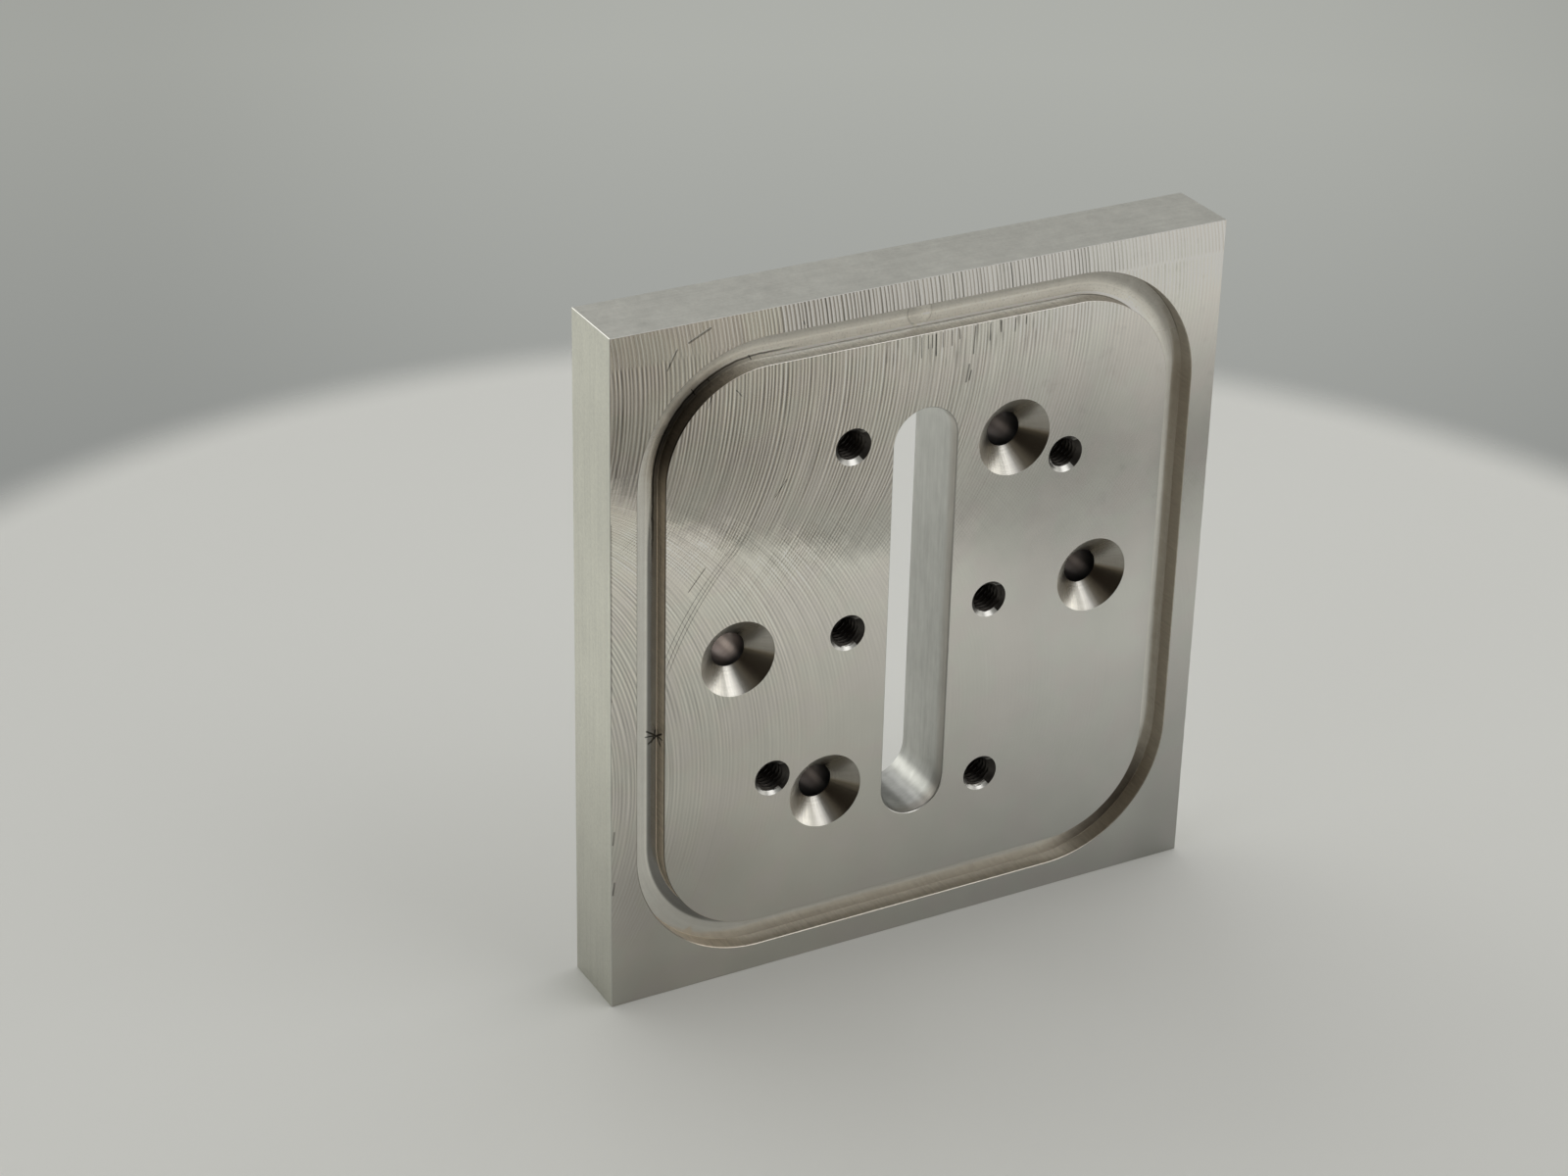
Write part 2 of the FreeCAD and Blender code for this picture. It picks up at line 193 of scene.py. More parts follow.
# ------------------------------------------------------------------ material helper
class Mat:
    def __init__(self, name):
        self.m = bpy.data.materials.new(name)
        self.m.use_nodes = True
        self.t = self.m.node_tree
        self.t.nodes.clear()
        self.bsdf = self.t.nodes.new("ShaderNodeBsdfPrincipled")
        out = self.t.nodes.new("ShaderNodeOutputMaterial")
        self.link(self.bsdf.outputs["BSDF"], out.inputs["Surface"])
        tc = self.t.nodes.new("ShaderNodeTexCoord")
        mm = self.vec("MULTIPLY", tc.outputs["Object"], (1000.0, 1000.0, 1000.0))
        shift = self.vec("ADD", mm, (0.0, 0.0, -ZC))
        self.p = shift
        sep = self.t.nodes.new("ShaderNodeSeparateXYZ")
        self.link(shift, sep.inputs[0])
        self.x, self.y, self.z = sep.outputs

    def link(self, a, b):
        self.t.links.new(a, b)

    def put(self, socket, value):
        if hasattr(value, "is_output"):
            self.link(value, socket)
        else:
            socket.default_value = value

    def vec(self, op, a, b=None, out=0):
        n = self.t.nodes.new("ShaderNodeVectorMath")
        n.operation = op
        self.put(n.inputs[0], a)
        if b is not None:
            self.put(n.inputs[1], b)
        return n.outputs[out]

    def scaled(self, a, k):
        n = self.t.nodes.new("ShaderNodeVectorMath")
        n.operation = "SCALE"
        self.put(n.inputs[0], a)
        self.put(n.inputs["Scale"], k)
        return n.outputs[0]

    def f(self, op, a, b=None, c=None, clamp=False):
        n = self.t.nodes.new("ShaderNodeMath")
        n.operation = op
        n.use_clamp = clamp
        self.put(n.inputs[0], a)
        if b is not None:
            self.put(n.inputs[1], b)
        if c is not None:
            self.put(n.inputs[2], c)
        return n.outputs[0]

    def add(self, *a):
        r = a[0]
        for b in a[1:]:
            r = self.f("ADD", r, b)
        return r

    def mul(self, *a):
        r = a[0]
        for b in a[1:]:
            r = self.f("MULTIPLY", r, b)
        return r

    def sub(self, a, b):
        return self.f("SUBTRACT", a, b)

    def step(self, v, lo, hi, a=0.0, b=1.0, kind="SMOOTHSTEP"):
        n = self.t.nodes.new("ShaderNodeMapRange")
        n.interpolation_type = kind
        n.clamp = True
        self.put(n.inputs["Value"], v)
        self.put(n.inputs["From Min"], lo)
        self.put(n.inputs["From Max"], hi)
        self.put(n.inputs["To Min"], a)
        self.put(n.inputs["To Max"], b)
        return n.outputs[0]

    def noise(self, scale, detail=2.0, rough=0.5, at=None, dist=0.0, dims="3D", w=None):
        n = self.t.nodes.new("ShaderNodeTexNoise")
        n.noise_dimensions = dims
        if dims == "1D":
            self.put(n.inputs["W"], w)
        else:
            self.put(n.inputs["Vector"], self.p if at is None else at)
        n.inputs["Scale"].default_value = scale
        n.inputs["Detail"].default_value = detail
        n.inputs["Roughness"].default_value = rough
        n.inputs["Distortion"].default_value = dist
        return n.outputs[0]

    def join(self, x, y, z):
        n = self.t.nodes.new("ShaderNodeCombineXYZ")
        for s, v in zip(n.inputs, (x, y, z)):
            self.put(s, v)
        return n.outputs[0]

    def blend(self, k, a, b):
        """Colour a where k is 0 and b where it is 1."""
        n = self.t.nodes.new("ShaderNodeMix")
        n.data_type = "RGBA"
        self.put(n.inputs[0], k)
        for s, v in ((n.inputs[6], a), (n.inputs[7], b)):
            self.put(s, v if hasattr(v, "is_output") else (*v, 1.0))
        return n.outputs[2]

    def mixf(self, k, a, b):
        n = self.t.nodes.new("ShaderNodeMix")
        n.data_type = "FLOAT"
        self.put(n.inputs[0], k)
        self.put(n.inputs[2], a)
        self.put(n.inputs[3], b)
        return n.outputs[0]

    def times(self, colour, k):
        n = self.t.nodes.new("ShaderNodeVectorMath")
        n.operation = "SCALE"
        self.put(n.inputs[0], colour)
        self.put(n.inputs["Scale"], k)
        return n.outputs[0]

    def white(self, w):
        n = self.t.nodes.new("ShaderNodeTexWhiteNoise")
        n.noise_dimensions = "1D"
        self.put(n.inputs["W"], w)
        return n.outputs[0]

    def ramp(self, v, stops):
        n = self.t.nodes.new("ShaderNodeValToRGB")
        e = n.color_ramp.elements
        while len(e) < len(stops):
            e.new(0.5)
        for item, (at, k) in zip(e, stops):
            item.position = at
        for item, (at, k) in zip(e, stops):
            item.color = (k, k, k, 1.0)
        self.put(n.inputs[0], v)
        return n.outputs[0]

    def dash(self, x1, z1, x2, z2, half, across=None):
        """1 along the line from (x1, z1) to (x2, z2), falling to 0 at half the line's width."""
        ex, ez = x2 - x1, z2 - z1
        px, pz = self.sub(self.x if across is None else across, x1), self.sub(self.z, z1)
        t = self.f("DIVIDE", self.add(self.mul(px, ex), self.mul(pz, ez)), ex * ex + ez * ez, clamp=True)
        away = self.vec("LENGTH", self.join(self.sub(px, self.mul(t, ex)), 0.0, self.sub(pz, self.mul(t, ez))), out=1)
        return self.step(away, half * 0.35, half, 1.0, 0.0)

    def spot(self, x, z, rx, rz):
        """1 at the middle of an oval, falling smoothly to 0 at its edge."""
        r = self.vec("LENGTH", self.join(self.mul(self.sub(self.x, x), 1 / rx), 0.0, self.mul(self.sub(self.z, z), 1 / rz)), out=1)
        return self.step(r, 0.25, 1.0, 1.0, 0.0)

    def bump(self, height_mm, strength=1.0):
        n = self.t.nodes.new("ShaderNodeBump")
        n.inputs["Strength"].default_value = strength
        n.inputs["Distance"].default_value = 0.001
        self.put(n.inputs["Height"], height_mm)
        self.link(n.outputs[0], self.bsdf.inputs["Normal"])

    def metal(self, colour, rough, anis=0.0, tangent=None):
        b = self.bsdf.inputs
        self.put(b["Base Color"], colour if hasattr(colour, "is_output") else (*colour, 1.0))
        b["Metallic"].default_value = 1.0
        self.put(b["Roughness"], rough)
        b["Anisotropic"].default_value = anis
        if tangent is not None:
            self.link(tangent, b["Tangent"])
        return self.m


ALU = (0.80, 0.785, 0.75)


def arcs(g, z0, side=1.0, radius=25.0, feed=0.312, seed=0.0, sway=0.05):
    """Feed marks of a face mill that ran along X with its centre at height z0, from the cutter's leading or
    trailing side: mm along the feed, a -1..1 wave and a random number for each turn."""
    dz = g.sub(g.z, z0)
    inside = g.f("MAXIMUM", g.sub(radius * radius, g.mul(dz, dz)), 0.04)
    u = g.sub(g.x, g.mul(g.f("SQRT", inside), side))
    slow = g.noise(0.55, 2.0, 0.6, dims="1D", w=g.add(u, seed))
    u = g.add(u, g.mul(g.sub(slow, 0.5), sway * 8))
    turn = g.mul(u, 1 / feed)
    wave = g.f("SINE", g.mul(turn, 2 * math.pi))
    each = g.white(g.add(g.f("FLOOR", turn), seed))
    return u, wave, each


def face_material(name, front=True):
    g = Mat(name)
    uA, waveA, eachA = arcs(g, 22.0, seed=3.1)
    uB, waveB, eachB = arcs(g, -8.5, seed=17.7)
    uC, waveC, eachC = arcs(g, -8.5, side=-1.0, seed=29.3)
    # The two passes meet along a line that falls from left to right.
    fall = g.f("POWER", 2.718, g.mul(g.add(g.x, 24.6), -0.085))
    meet = g.add(4.8, g.mul(fall, 11.0))
    rag = g.mul(g.sub(g.noise(0.45, 3.0, 0.6), 0.5), 3.4)
    above = g.sub(g.z, g.add(meet, rag))
    above = g.f("DIVIDE", g.add(above, g.step(g.x, -4.0, 14.0, 0.0, -1.0)), g.step(g.x, -6.0, 12.0, 1.0, 3.6))
    top = g.step(above, -3.0, 1.4)
    low = g.step(above, -0.2, 3.2, 1.0, 0.0)
    cross = g.mul(g.step(g.f("ABSOLUTE", g.add(above, 1.5)), 1.0, 5.5, 1.0, 0.0), g.step(g.x, -14.0, 2.0, 1.0, 0.25))
    # the cut is crisp at the upper left and grows smoother to the lower right
    q = g.sub(g.mul(g.x, 0.675), g.mul(g.z, 0.738))
    crisp = g.step(q, -15.0, 3.0, 1.0, 0.07)
    patchy = g.noise(0.22, 3.0, 0.6, at=g.vec("ADD", g.p, (3.0, 0.0, 11.0)))
    live = g.mul(crisp, g.step(patchy, 0.34, 0.62, 0.55, 1.15))
    ampA = g.mul(top, live, g.add(0.55, g.mul(eachA, 0.9)))
    ampB = g.mul(low, live, g.add(0.45, g.mul(eachB, 1.0)))
    ampC = g.mul(cross, live, g.add(0.35, eachC))
    # streaks that follow the cutter's path
    def streaks(u, seed):
        wide = g.noise(1.3, 2.0, 0.6, dims="1D", w=g.add(u, seed))
        thin = g.noise(6.5, 1.0, 0.5, at=g.join(u, g.add(g.y, seed), g.mul(g.z, 0.035)))
        return g.add(g.mul(g.sub(wide, 0.5), 0.20), g.mul(g.sub(thin, 0.5), 0.42))
    dragA = g.mul(g.step(g.noise(1.9, 1.0, 0.5, at=g.join(uA, 70.0, g.mul(g.z, 0.05))), 0.62, 0.70), top, crisp)
    dragB = g.mul(g.step(g.noise(1.7, 1.0, 0.5, at=g.join(uB, 90.0, g.mul(g.z, 0.05))), 0.63, 0.71), low, crisp)
    streak = g.add(g.mul(streaks(uA, 5.0), top), g.mul(streaks(uB, 45.0), low), g.mul(streaks(uC, 95.0), cross, 0.6))
    soft = g.noise(0.35, 3.0, 0.55)
    # the rim above the groove keeps the deepest marks
    comb = g.mul(g.step(g.z, 24.3, 24.8), g.step(g.x, -15.0, -9.0, 0.35, 1.0), g.step(g.x, 11.0, 19.0, 1.0, 0.35)) if front else 0.0
    height = g.add(
        g.mul(waveA, ampA, g.add(0.0030, g.mul(comb, -0.0012))),
        g.mul(waveB, ampB, 0.0022),
        g.mul(waveC, ampC, 0.0014),
        g.mul(g.add(dragA, dragB), -0.003),
        g.mul(g.noise(22.0, 2.0, 0.6), crisp, 0.0004),
    )
    tone = g.add(
        1.0,
        g.mul(g.sub(soft, 0.5), 0.12),
        g.mul(streak, crisp),
        g.mul(waveA, ampA, g.sub(1.0, comb), g.step(g.z, 18.0, 23.5, 0.20, 0.28), g.step(g.x, -9.0, 5.0, 1.45, 1.0)),
        g.mul(comb, g.add(0.62, g.mul(eachA, 0.12), g.mul(g.step(waveA, -0.25, 0.65), g.add(1.08, g.mul(eachA, 0.36)), -1.0))),
        g.mul(waveB, ampB, 0.17),
        g.mul(waveC, ampC, 0.09),
        g.mul(g.add(dragA, dragB), -0.12),
    )
    # painted reflection and shade: each pass is made brightest where its marks stand upright and darker away from
    # there, then lightened and darkened in regions and soft spots below
    shadeA = g.mul(g.step(g.z, 5.0, 27.0, 0.62, 0.93, "LINEAR"), g.step(g.x, -24.5, -16.0, 0.86, 1.0))
    shadeB = g.step(g.z, -25.0, 9.0, 0.60, 1.08, "LINEAR")
    shade = g.mixf(g.step(above, -1.8, 1.4), shadeB, shadeA)
    shade = g.mul(1.06, g.add(shade, g.mul(g.step(g.x, -8.0, 24.0, 0.0, 1.0, "LINEAR"), g.step(g.z, -14.0, 26.0, -0.05, 0.26, "LINEAR"))))
    shade = g.mul(shade, g.add(1.0, g.mul(g.step(g.x, 19.0, 23.0), g.step(g.z, 20.0, 8.0), -0.14)))
    shade = g.mul(shade, g.add(1.0, g.mul(g.step(g.x, -17.0, -23.0), g.step(g.z, 10.0, 3.0), -0.10)))
    shade = g.add(shade, g.mul(g.step(g.x, -12.0, -1.0), g.step(g.z, 15.0, 24.0), 0.16))
    for x, z, rx, rz, k in ((3.0, 27.5, 18.0, 4.5, 0.40), (19.5, 13.0, 6.0, 7.0, 0.12), (16.5, 6.5, 19.0, 13.0, -0.24), (-24.0, 18.0, 3.0, 6.0, -0.17), (-17.0, 16.0, 8.0, 6.5, -0.16), (-19.0, -17.0, 9.0, 7.0, -0.13), (-17.0, -4.0, 9.0, 9.0, -0.08)):
        shade = g.mul(shade, g.add(1.0, g.mul(g.spot(x, z, rx, rz), k)))
    if front:
        marks = g.f("MAXIMUM", g.dash(-19.02, 25.58, -17.38, 26.35, 0.12), g.dash(-20.65, 23.85, -19.91, 25.24, 0.09))
        for line in ((-10.3, 25.7, -9.9, 25.1, 0.07), (-15.3, 21.3, -14.9, 20.8, 0.07), 
                     (-18.9, 6.4, -17.6, 8.0, 0.05), (-17.5, 20.4, -16.9, 22.2, 0.05), (-12.1, 12.4, -11.2, 13.6, 0.05), (-24.75, -11.9, -24.86, -12.9, 0.10), (-24.75, -16.2, -24.86, -17.2, 0.10)):
            marks = g.f("MAXIMUM", marks, g.dash(*line))
        runs = g.dash(3.47, 19.6, 3.27, 18.3, 0.10)
        for line in ((-0.58, 22.45, -0.53, 20.9, 0.055), (-0.02, 22.5, 0.0, 21.5, 0.045), (0.30, 22.5, 0.33, 21.5, 0.05), (0.60, 22.5, 0.66, 20.85, 0.075),
                     (1.17, 22.5, 1.21, 21.4, 0.05), (1.93, 22.5, 1.96, 21.4, 0.07), (2.55, 22.5, 2.58, 21.8, 0.06), (3.85, 22.5, 3.77, 20.4, 0.08), (3.66, 19.1, 3.52, 18.4, 0.085),
                     (5.1, 22.5, 5.1, 21.2, 0.06), (6.0, 22.5, 6.02, 21.7, 0.07), (7.2, 22.5, 7.2, 21.5, 0.055), (8.1, 22.5, 8.1, 21.9, 0.06)):
            runs = g.f("MAXIMUM", runs, g.dash(*line))
        marks = g.f("MAXIMUM", marks, g.mul(g.dash(-24.93, 13.0, -24.93, -1.0, 0.07), 0.8))
        # long thin arcs left by a chip that the cutter's trailing side dragged along
        for place, width in ((2.62, 0.05), (2.25, 0.04), (2.95, 0.035)):
            off = g.f("ABSOLUTE", g.sub(uC, place))
            span = g.mul(g.step(g.x, -21.3, -20.3), g.step(g.x, -15.4, -13.8, 1.0, 0.0), g.step(g.z, -1.0, 1.2))
            marks = g.f("MAXIMUM", marks, g.mul(g.step(off, width * 0.4, width, 0.75, 0.0), span))
        # drips under the groove at the upper right, a few soft stains, and two noisy patches on the left made lighter
        drip = g.noise(3.2, 1.0, 0.5, at=g.join(g.x, 4.0, g.mul(g.z, 0.10)))
        under = g.mul(g.step(g.x, -5.0, -3.0), g.step(g.x, 9.0, 12.0, 1.0, 0.0), g.step(g.z, 18.6, 21.6), g.step(g.z, 22.6, 22.9, 1.0, 0.0))
        drip = g.mul(g.step(drip, 0.55, 0.68), under)
        stain = g.mul(g.step(g.noise(0.55, 3.0, 0.6, at=g.vec("ADD", g.p, (9.0, 3.0, 21.0))), 0.56, 0.72), g.step(g.add(g.x, g.z), 12.0, 30.0))
        bright = g.mul(g.step(g.noise(0.9, 3.0, 0.6, at=g.vec("ADD", g.p, (2.0, 3.0, 4.0))), 0.50, 0.66), g.f("MAXIMUM", g.spot(-18.0, 11.2, 4.5, 2.6), g.spot(-9.5, 8.2, 5.5, 2.4)))
        tone = g.add(tone, g.mul(marks, -0.56), g.mul(runs, -0.70), g.mul(drip, -0.26), g.mul(stain, -0.10), g.mul(bright, 0.20))
        height = g.add(height, g.mul(marks, -0.010))
    g.bump(height)
    warm = g.step(g.x, -16.0, 14.0)
    tint = g.blend(warm, (0.800, 0.770, 0.695), (0.790, 0.785, 0.750))
    hue = g.noise(0.32, 2.0, 0.5, at=g.vec("ADD", g.p, (31.0, 7.0, 3.0)))
    tint = g.blend(g.step(hue, 0.42, 0.60, 0.0, 0.5), tint, (0.800, 0.765, 0.735))
    tint = g.blend(g.step(hue, 0.40, 0.52, 0.4, 0.0), tint, (0.780, 0.790, 0.735))
    return g.metal(g.times(tint, g.mul(tone, shade)), g.add(0.235, g.mul(g.sub(soft, 0.5), 0.08)), 0.0)


def plain_material(name, tone=1.0, rough=0.3, grain=(0.3, 0.3, 0.3), depth=0.0008, mottled=0.10, base=(0.80, 0.79, 0.75)):
    g = Mat(name)
    n1 = g.noise(1.0, 4.0, 0.6, at=g.vec("MULTIPLY", g.p, grain))
    n2 = g.noise(7.0, 3.0, 0.6)
    g.bump(g.mul(g.add(n1, g.mul(n2, 0.35)), depth))
    t = g.add(tone * (1 - mottled / 2), g.mul(n1, mottled * tone))
    return g.metal(g.times(g.blend(n2, base, tuple(v * 0.985 for v in base)), t), rough)


def side_material(name, up):
    """Sawn and lightly ground edge faces: a matt speckle with faint lines along the plate."""
    g = Mat(name)
    speck = g.noise(3.4, 3.0, 0.65)
    grit = g.noise(9.0, 2.0, 0.6)
    along = g.noise(1.0, 3.0, 0.6, at=g.vec("MULTIPLY", g.p, (0.12, 3.0, 3.0) if up else (3.0, 3.0, 0.10)))
    cloud = g.noise(0.16, 3.0, 0.6, at=g.vec("ADD", g.p, (5.0, 1.0, 8.0)))
    g.bump(g.add(g.mul(speck, 0.010), g.mul(grit, 0.004), g.mul(along, 0.004)))
    tone = g.add(1.0, g.mul(g.sub(speck, 0.5), 0.26), g.mul(g.sub(grit, 0.5), 0.16), g.mul(g.sub(along, 0.5), 0.20), g.mul(g.sub(cloud, 0.5), 0.22))
    if up:
        # painted shade: the top and bottom faces are this finish made darker
        tone = g.mul(tone, g.add(0.67, g.mul(g.sub(g.noise(0.7, 3.0, 0.6, at=g.vec("ADD", g.p, (1.0, 9.0, 2.0))), 0.5), 0.22)))
        base = (0.790, 0.785, 0.730)
    else:
        # painted shade and light: darker towards the bottom, lighter towards the top
        tone = g.mul(tone, g.step(g.z, -27.0, 3.0, 0.66, 1.03), g.step(g.z, 14.0, 27.0, 1.0, 1.12))
        base = (0.800, 0.795, 0.715)
    return g.metal(g.times(base, tone) if hasattr(base, "is_output") else g.times(g.blend(speck, base, tuple(v * 0.98 for v in base)), tone), 0.50)


def slot_material():
    """The slot's wall: long streaks up the plate, duller and browner towards its front mouth."""
    g = Mat("slot_wall")
    long_ = g.noise(2.6, 3.0, 0.6, at=g.join(g.mul(g.x, 0.4), g.y, g.mul(g.z, 0.06)))
    blot = g.noise(0.9, 3.0, 0.65, at=g.join(g.x, g.y, g.mul(g.z, 0.45)))
    g.bump(g.add(g.mul(long_, 0.004), g.mul(blot, 0.003)))
    tone = g.add(0.66, g.mul(g.sub(long_, 0.5), 0.30), g.mul(g.sub(blot, 0.5), 0.26), g.step(g.z, 0.0, 16.0, 0.0, 0.16))
    # painted shade on the slot's lower end: darker where x is under about 1 mm, and past about 1.5 mm towards the front
    low = g.step(g.z, -13.6, -14.9)
    tone = g.mul(tone, g.add(1.0, g.mul(low, g.step(g.x, 1.75, 0.95), -0.45), g.mul(low, g.step(g.x, 1.3, 1.7), g.step(g.y, 0.0, -3.0), -0.22)))
    tone = g.mul(tone, g.step(g.y, -2.80, -2.92, 1.0, 0.50))
    brown = g.step(g.y, -1.6, -2.6)
    return g.metal(g.times(g.blend(brown, (0.79, 0.795, 0.755), (0.63, 0.60, 0.545)), tone), 0.33)


def about_sink(g):
    """Distance from the nearest countersunk hole's axis, and the direction to it."""
    x = g.sub(g.x, SHIFT)
    sign = g.f("SIGN", x)
    outer = g.f("GREATER_THAN", g.f("ABSOLUTE", x), 11.25)
    cx = g.add(SHIFT, g.mul(sign, g.mixf(outer, 7.5, 15.0)))
    cz = g.mul(sign, g.mixf(outer, 12.99, 0.0))
    lx, lz = g.sub(g.x, cx), g.sub(g.z, cz)
    r = g.vec("LENGTH", g.join(lx, 0.0, lz), out=1)
    return r, g.f("DIVIDE", lx, r), g.f("DIVIDE", lz, r), cx


def cone_material():
    g = Mat("turned_cone")
    r, ux, uz, cx = about_sink(g)
    ray = g.noise(7.0, 3.0, 0.65, at=g.join(ux, g.add(g.mul(r, 0.05), cx), uz))
    fine = g.noise(26.0, 2.0, 0.6, at=g.join(ux, g.add(g.mul(r, 0.03), cx), uz))
    ring = g.noise(9.0, 2.0, 0.5, dims="1D", w=r)
    g.bump(g.add(g.mul(ray, 0.006), g.mul(fine, 0.0015), g.mul(ring, 0.0012)))
    about = g.add(0.5, g.mul(g.f("ARCTAN2", uz, ux), 0.5 / math.pi))
    # painted light and shade: tone by angle round the hole, fitted to the main view: not a known mark of the real part
    painted_light_by_angle = g.ramp(about, [((a + 180) / 360, k) for a, k in (
        (-180, 1.22), (-160, 1.08), (-140, 1.16), (-120, 1.20), (-104, 1.02), (-92, 0.62), (-78, 0.24), (-62, 0.22), (-48, 0.20), (-34, 0.19), (-18, 0.15),
        (-9, 0.17), (-3, 0.36), (8, 0.44), (22, 0.56), (40, 0.72), (60, 0.85), (80, 0.80), (98, 0.75), (120, 1.22), (140, 1.16), (160, 1.22), (180, 1.22))])
    dull = g.ramp(about, [((a + 180) / 360, k) for a, k in ((-180, 0.40), (-165, 0.32), (-130, 0.26), (-60, 0.26), (60, 0.27), (95, 0.42), (180, 0.42))])
    # painted reflection: a brown tint over the dark part of the cone
    brown = g.ramp(about, [((a + 180) / 360, k) for a, k in ((-80, 0.0), (-60, 1.0), (-8, 1.0), (0, 0.25), (40, 0.0))])
    tone = g.mul(painted_light_by_angle, g.add(0.98, g.mul(g.sub(ray, 0.5), 0.30), g.mul(g.sub(fine, 0.5), 0.30), g.mul(g.sub(ring, 0.5), 0.22)))
    return g.metal(g.times(g.blend(brown, g.blend(ray, (0.80, 0.765, 0.70), (0.79, 0.775, 0.72)), (0.86, 0.74, 0.56)), tone), dull)


def bore_material():
    g = Mat("drilled_bores")
    r, ux, uz, cx = about_sink(g)
    turn = g.noise(5.0, 2.0, 0.6, at=g.join(g.mul(ux, 0.3), g.add(g.y, cx), g.mul(uz, 0.3)))
    g.bump(g.mul(turn, 0.006))
    # painted light and shade inside the bores: a dark colour, darkest near the front and lightest a little way in,
    # darker on one side, and lighter in the left hole than in the other three
    deep = g.mul(g.step(g.y, -1.2, 0.1, 0.08, 1.0), g.step(g.y, 0.7, 2.4, 1.0, 0.5))
    side = g.step(g.add(g.mul(ux, 0.766), g.mul(uz, -0.643)), 0.2, 0.95, 0.22, 1.0)
    one = g.step(g.x, -10.0, -12.0, 0.45, 1.9)
    return g.metal(g.times(g.blend(turn, (0.150, 0.118, 0.104), (0.120, 0.104, 0.095)), g.mul(deep, side, one, g.add(0.8, g.mul(turn, 0.4)))), 0.36)


def from_island(g):
    """Distance in mm from the groove's inner wall, 0 to the groove's width."""
    r = R_OUT - GROOVE
    qx = g.sub(g.f("ABSOLUTE", g.x), W / 2 - RIM - GROOVE - r)
    qz = g.sub(g.f("ABSOLUTE", g.z), H / 2 - RIM - GROOVE - r)
    out = g.vec("LENGTH", g.join(g.f("MAXIMUM", qx, 0.0), 0.0, g.f("MAXIMUM", qz, 0.0)), out=1)
    return g.sub(g.add(out, g.f("MINIMUM", g.f("MAXIMUM", qx, qz), 0.0)), r)


def wall_material():
    """The groove's walls: marks across the wall from the cutter's flutes, darker on the two upright runs: painted light
    and shade, each run taking its own colour.
    """
    g = Mat("groove_walls")
    flute = g.noise(4.5, 3.0, 0.65, at=g.join(g.x, g.mul(g.y, 0.12), g.z))
    fine = g.noise(14.0, 2.0, 0.6, at=g.join(g.x, g.mul(g.y, 0.08), g.z))
    upright = g.step(g.f("ABSOLUTE", g.x), 11.5, 18.5)
    g.bump(g.add(g.mul(flute, 0.008), g.mul(fine, 0.002)))
    tone = g.add(1.0, g.mul(g.sub(flute, 0.5), 0.50), g.mul(g.sub(fine, 0.5), 0.35))
    swarf = g.dash(FLOOR, -5.55, FLOOR - 0.80, -5.00, 0.11, g.y)
    for line in ((FLOOR, -5.50, FLOOR - 0.90, -5.45, 0.08), (FLOOR, -5.55, FLOOR - 0.65, -6.05, 0.11), (FLOOR - 0.1, -5.0, FLOOR - 0.40, -6.0, 0.07)):
        swarf = g.f("MAXIMUM", swarf, g.dash(*line, g.y))
    swarf = g.mul(swarf, g.step(g.x, -19.0, -20.0))
    tone = g.mul(tone, g.add(1.0, g.mul(swarf, -0.85)))
    # painted light and shade: darker on the bottom and right runs, lighter on the top and left
    level = g.blend(g.step(g.z, -5.0, 5.0), (0.63, 0.59, 0.525), (0.785, 0.768, 0.722))
    steep = g.blend(g.step(g.x, -5.0, 5.0), (0.840, 0.755, 0.640), (0.520, 0.475, 0.410))
    colour = g.blend(upright, level, steep)
    # painted shade: the wall round the upper left corner is made dark
    colour = g.blend(g.mul(g.step(g.x, -13.0, -19.0), g.step(g.z, 12.0, 17.0)), colour, (0.26, 0.230, 0.190))
    tone = g.mul(tone, g.add(1.0, g.mul(g.step(g.x, -17.0, -19.5), g.step(g.y, -2.78, -2.93), -0.75)))
    pitted = g.mul(g.step(g.noise(6.0, 2.0, 0.6, at=g.vec("ADD", g.p, (4.0, 8.0, 1.0))), 0.52, 0.62), g.step(g.z, 15.0, 20.0))
    tone = g.mul(tone, g.add(1.0, g.mul(pitted, -0.22)))
    # painted shade along the crease at the wall's foot in the top groove
    foot = g.mul(g.step(g.y, FLOOR - 0.20, FLOOR - 0.08), g.step(g.z, 16.0, 20.0), g.step(g.x, -14.0, -9.0))
    tone = g.mul(tone, g.add(1.0, g.mul(foot, -0.38)))
    return g.metal(g.times(colour, tone), 0.40)


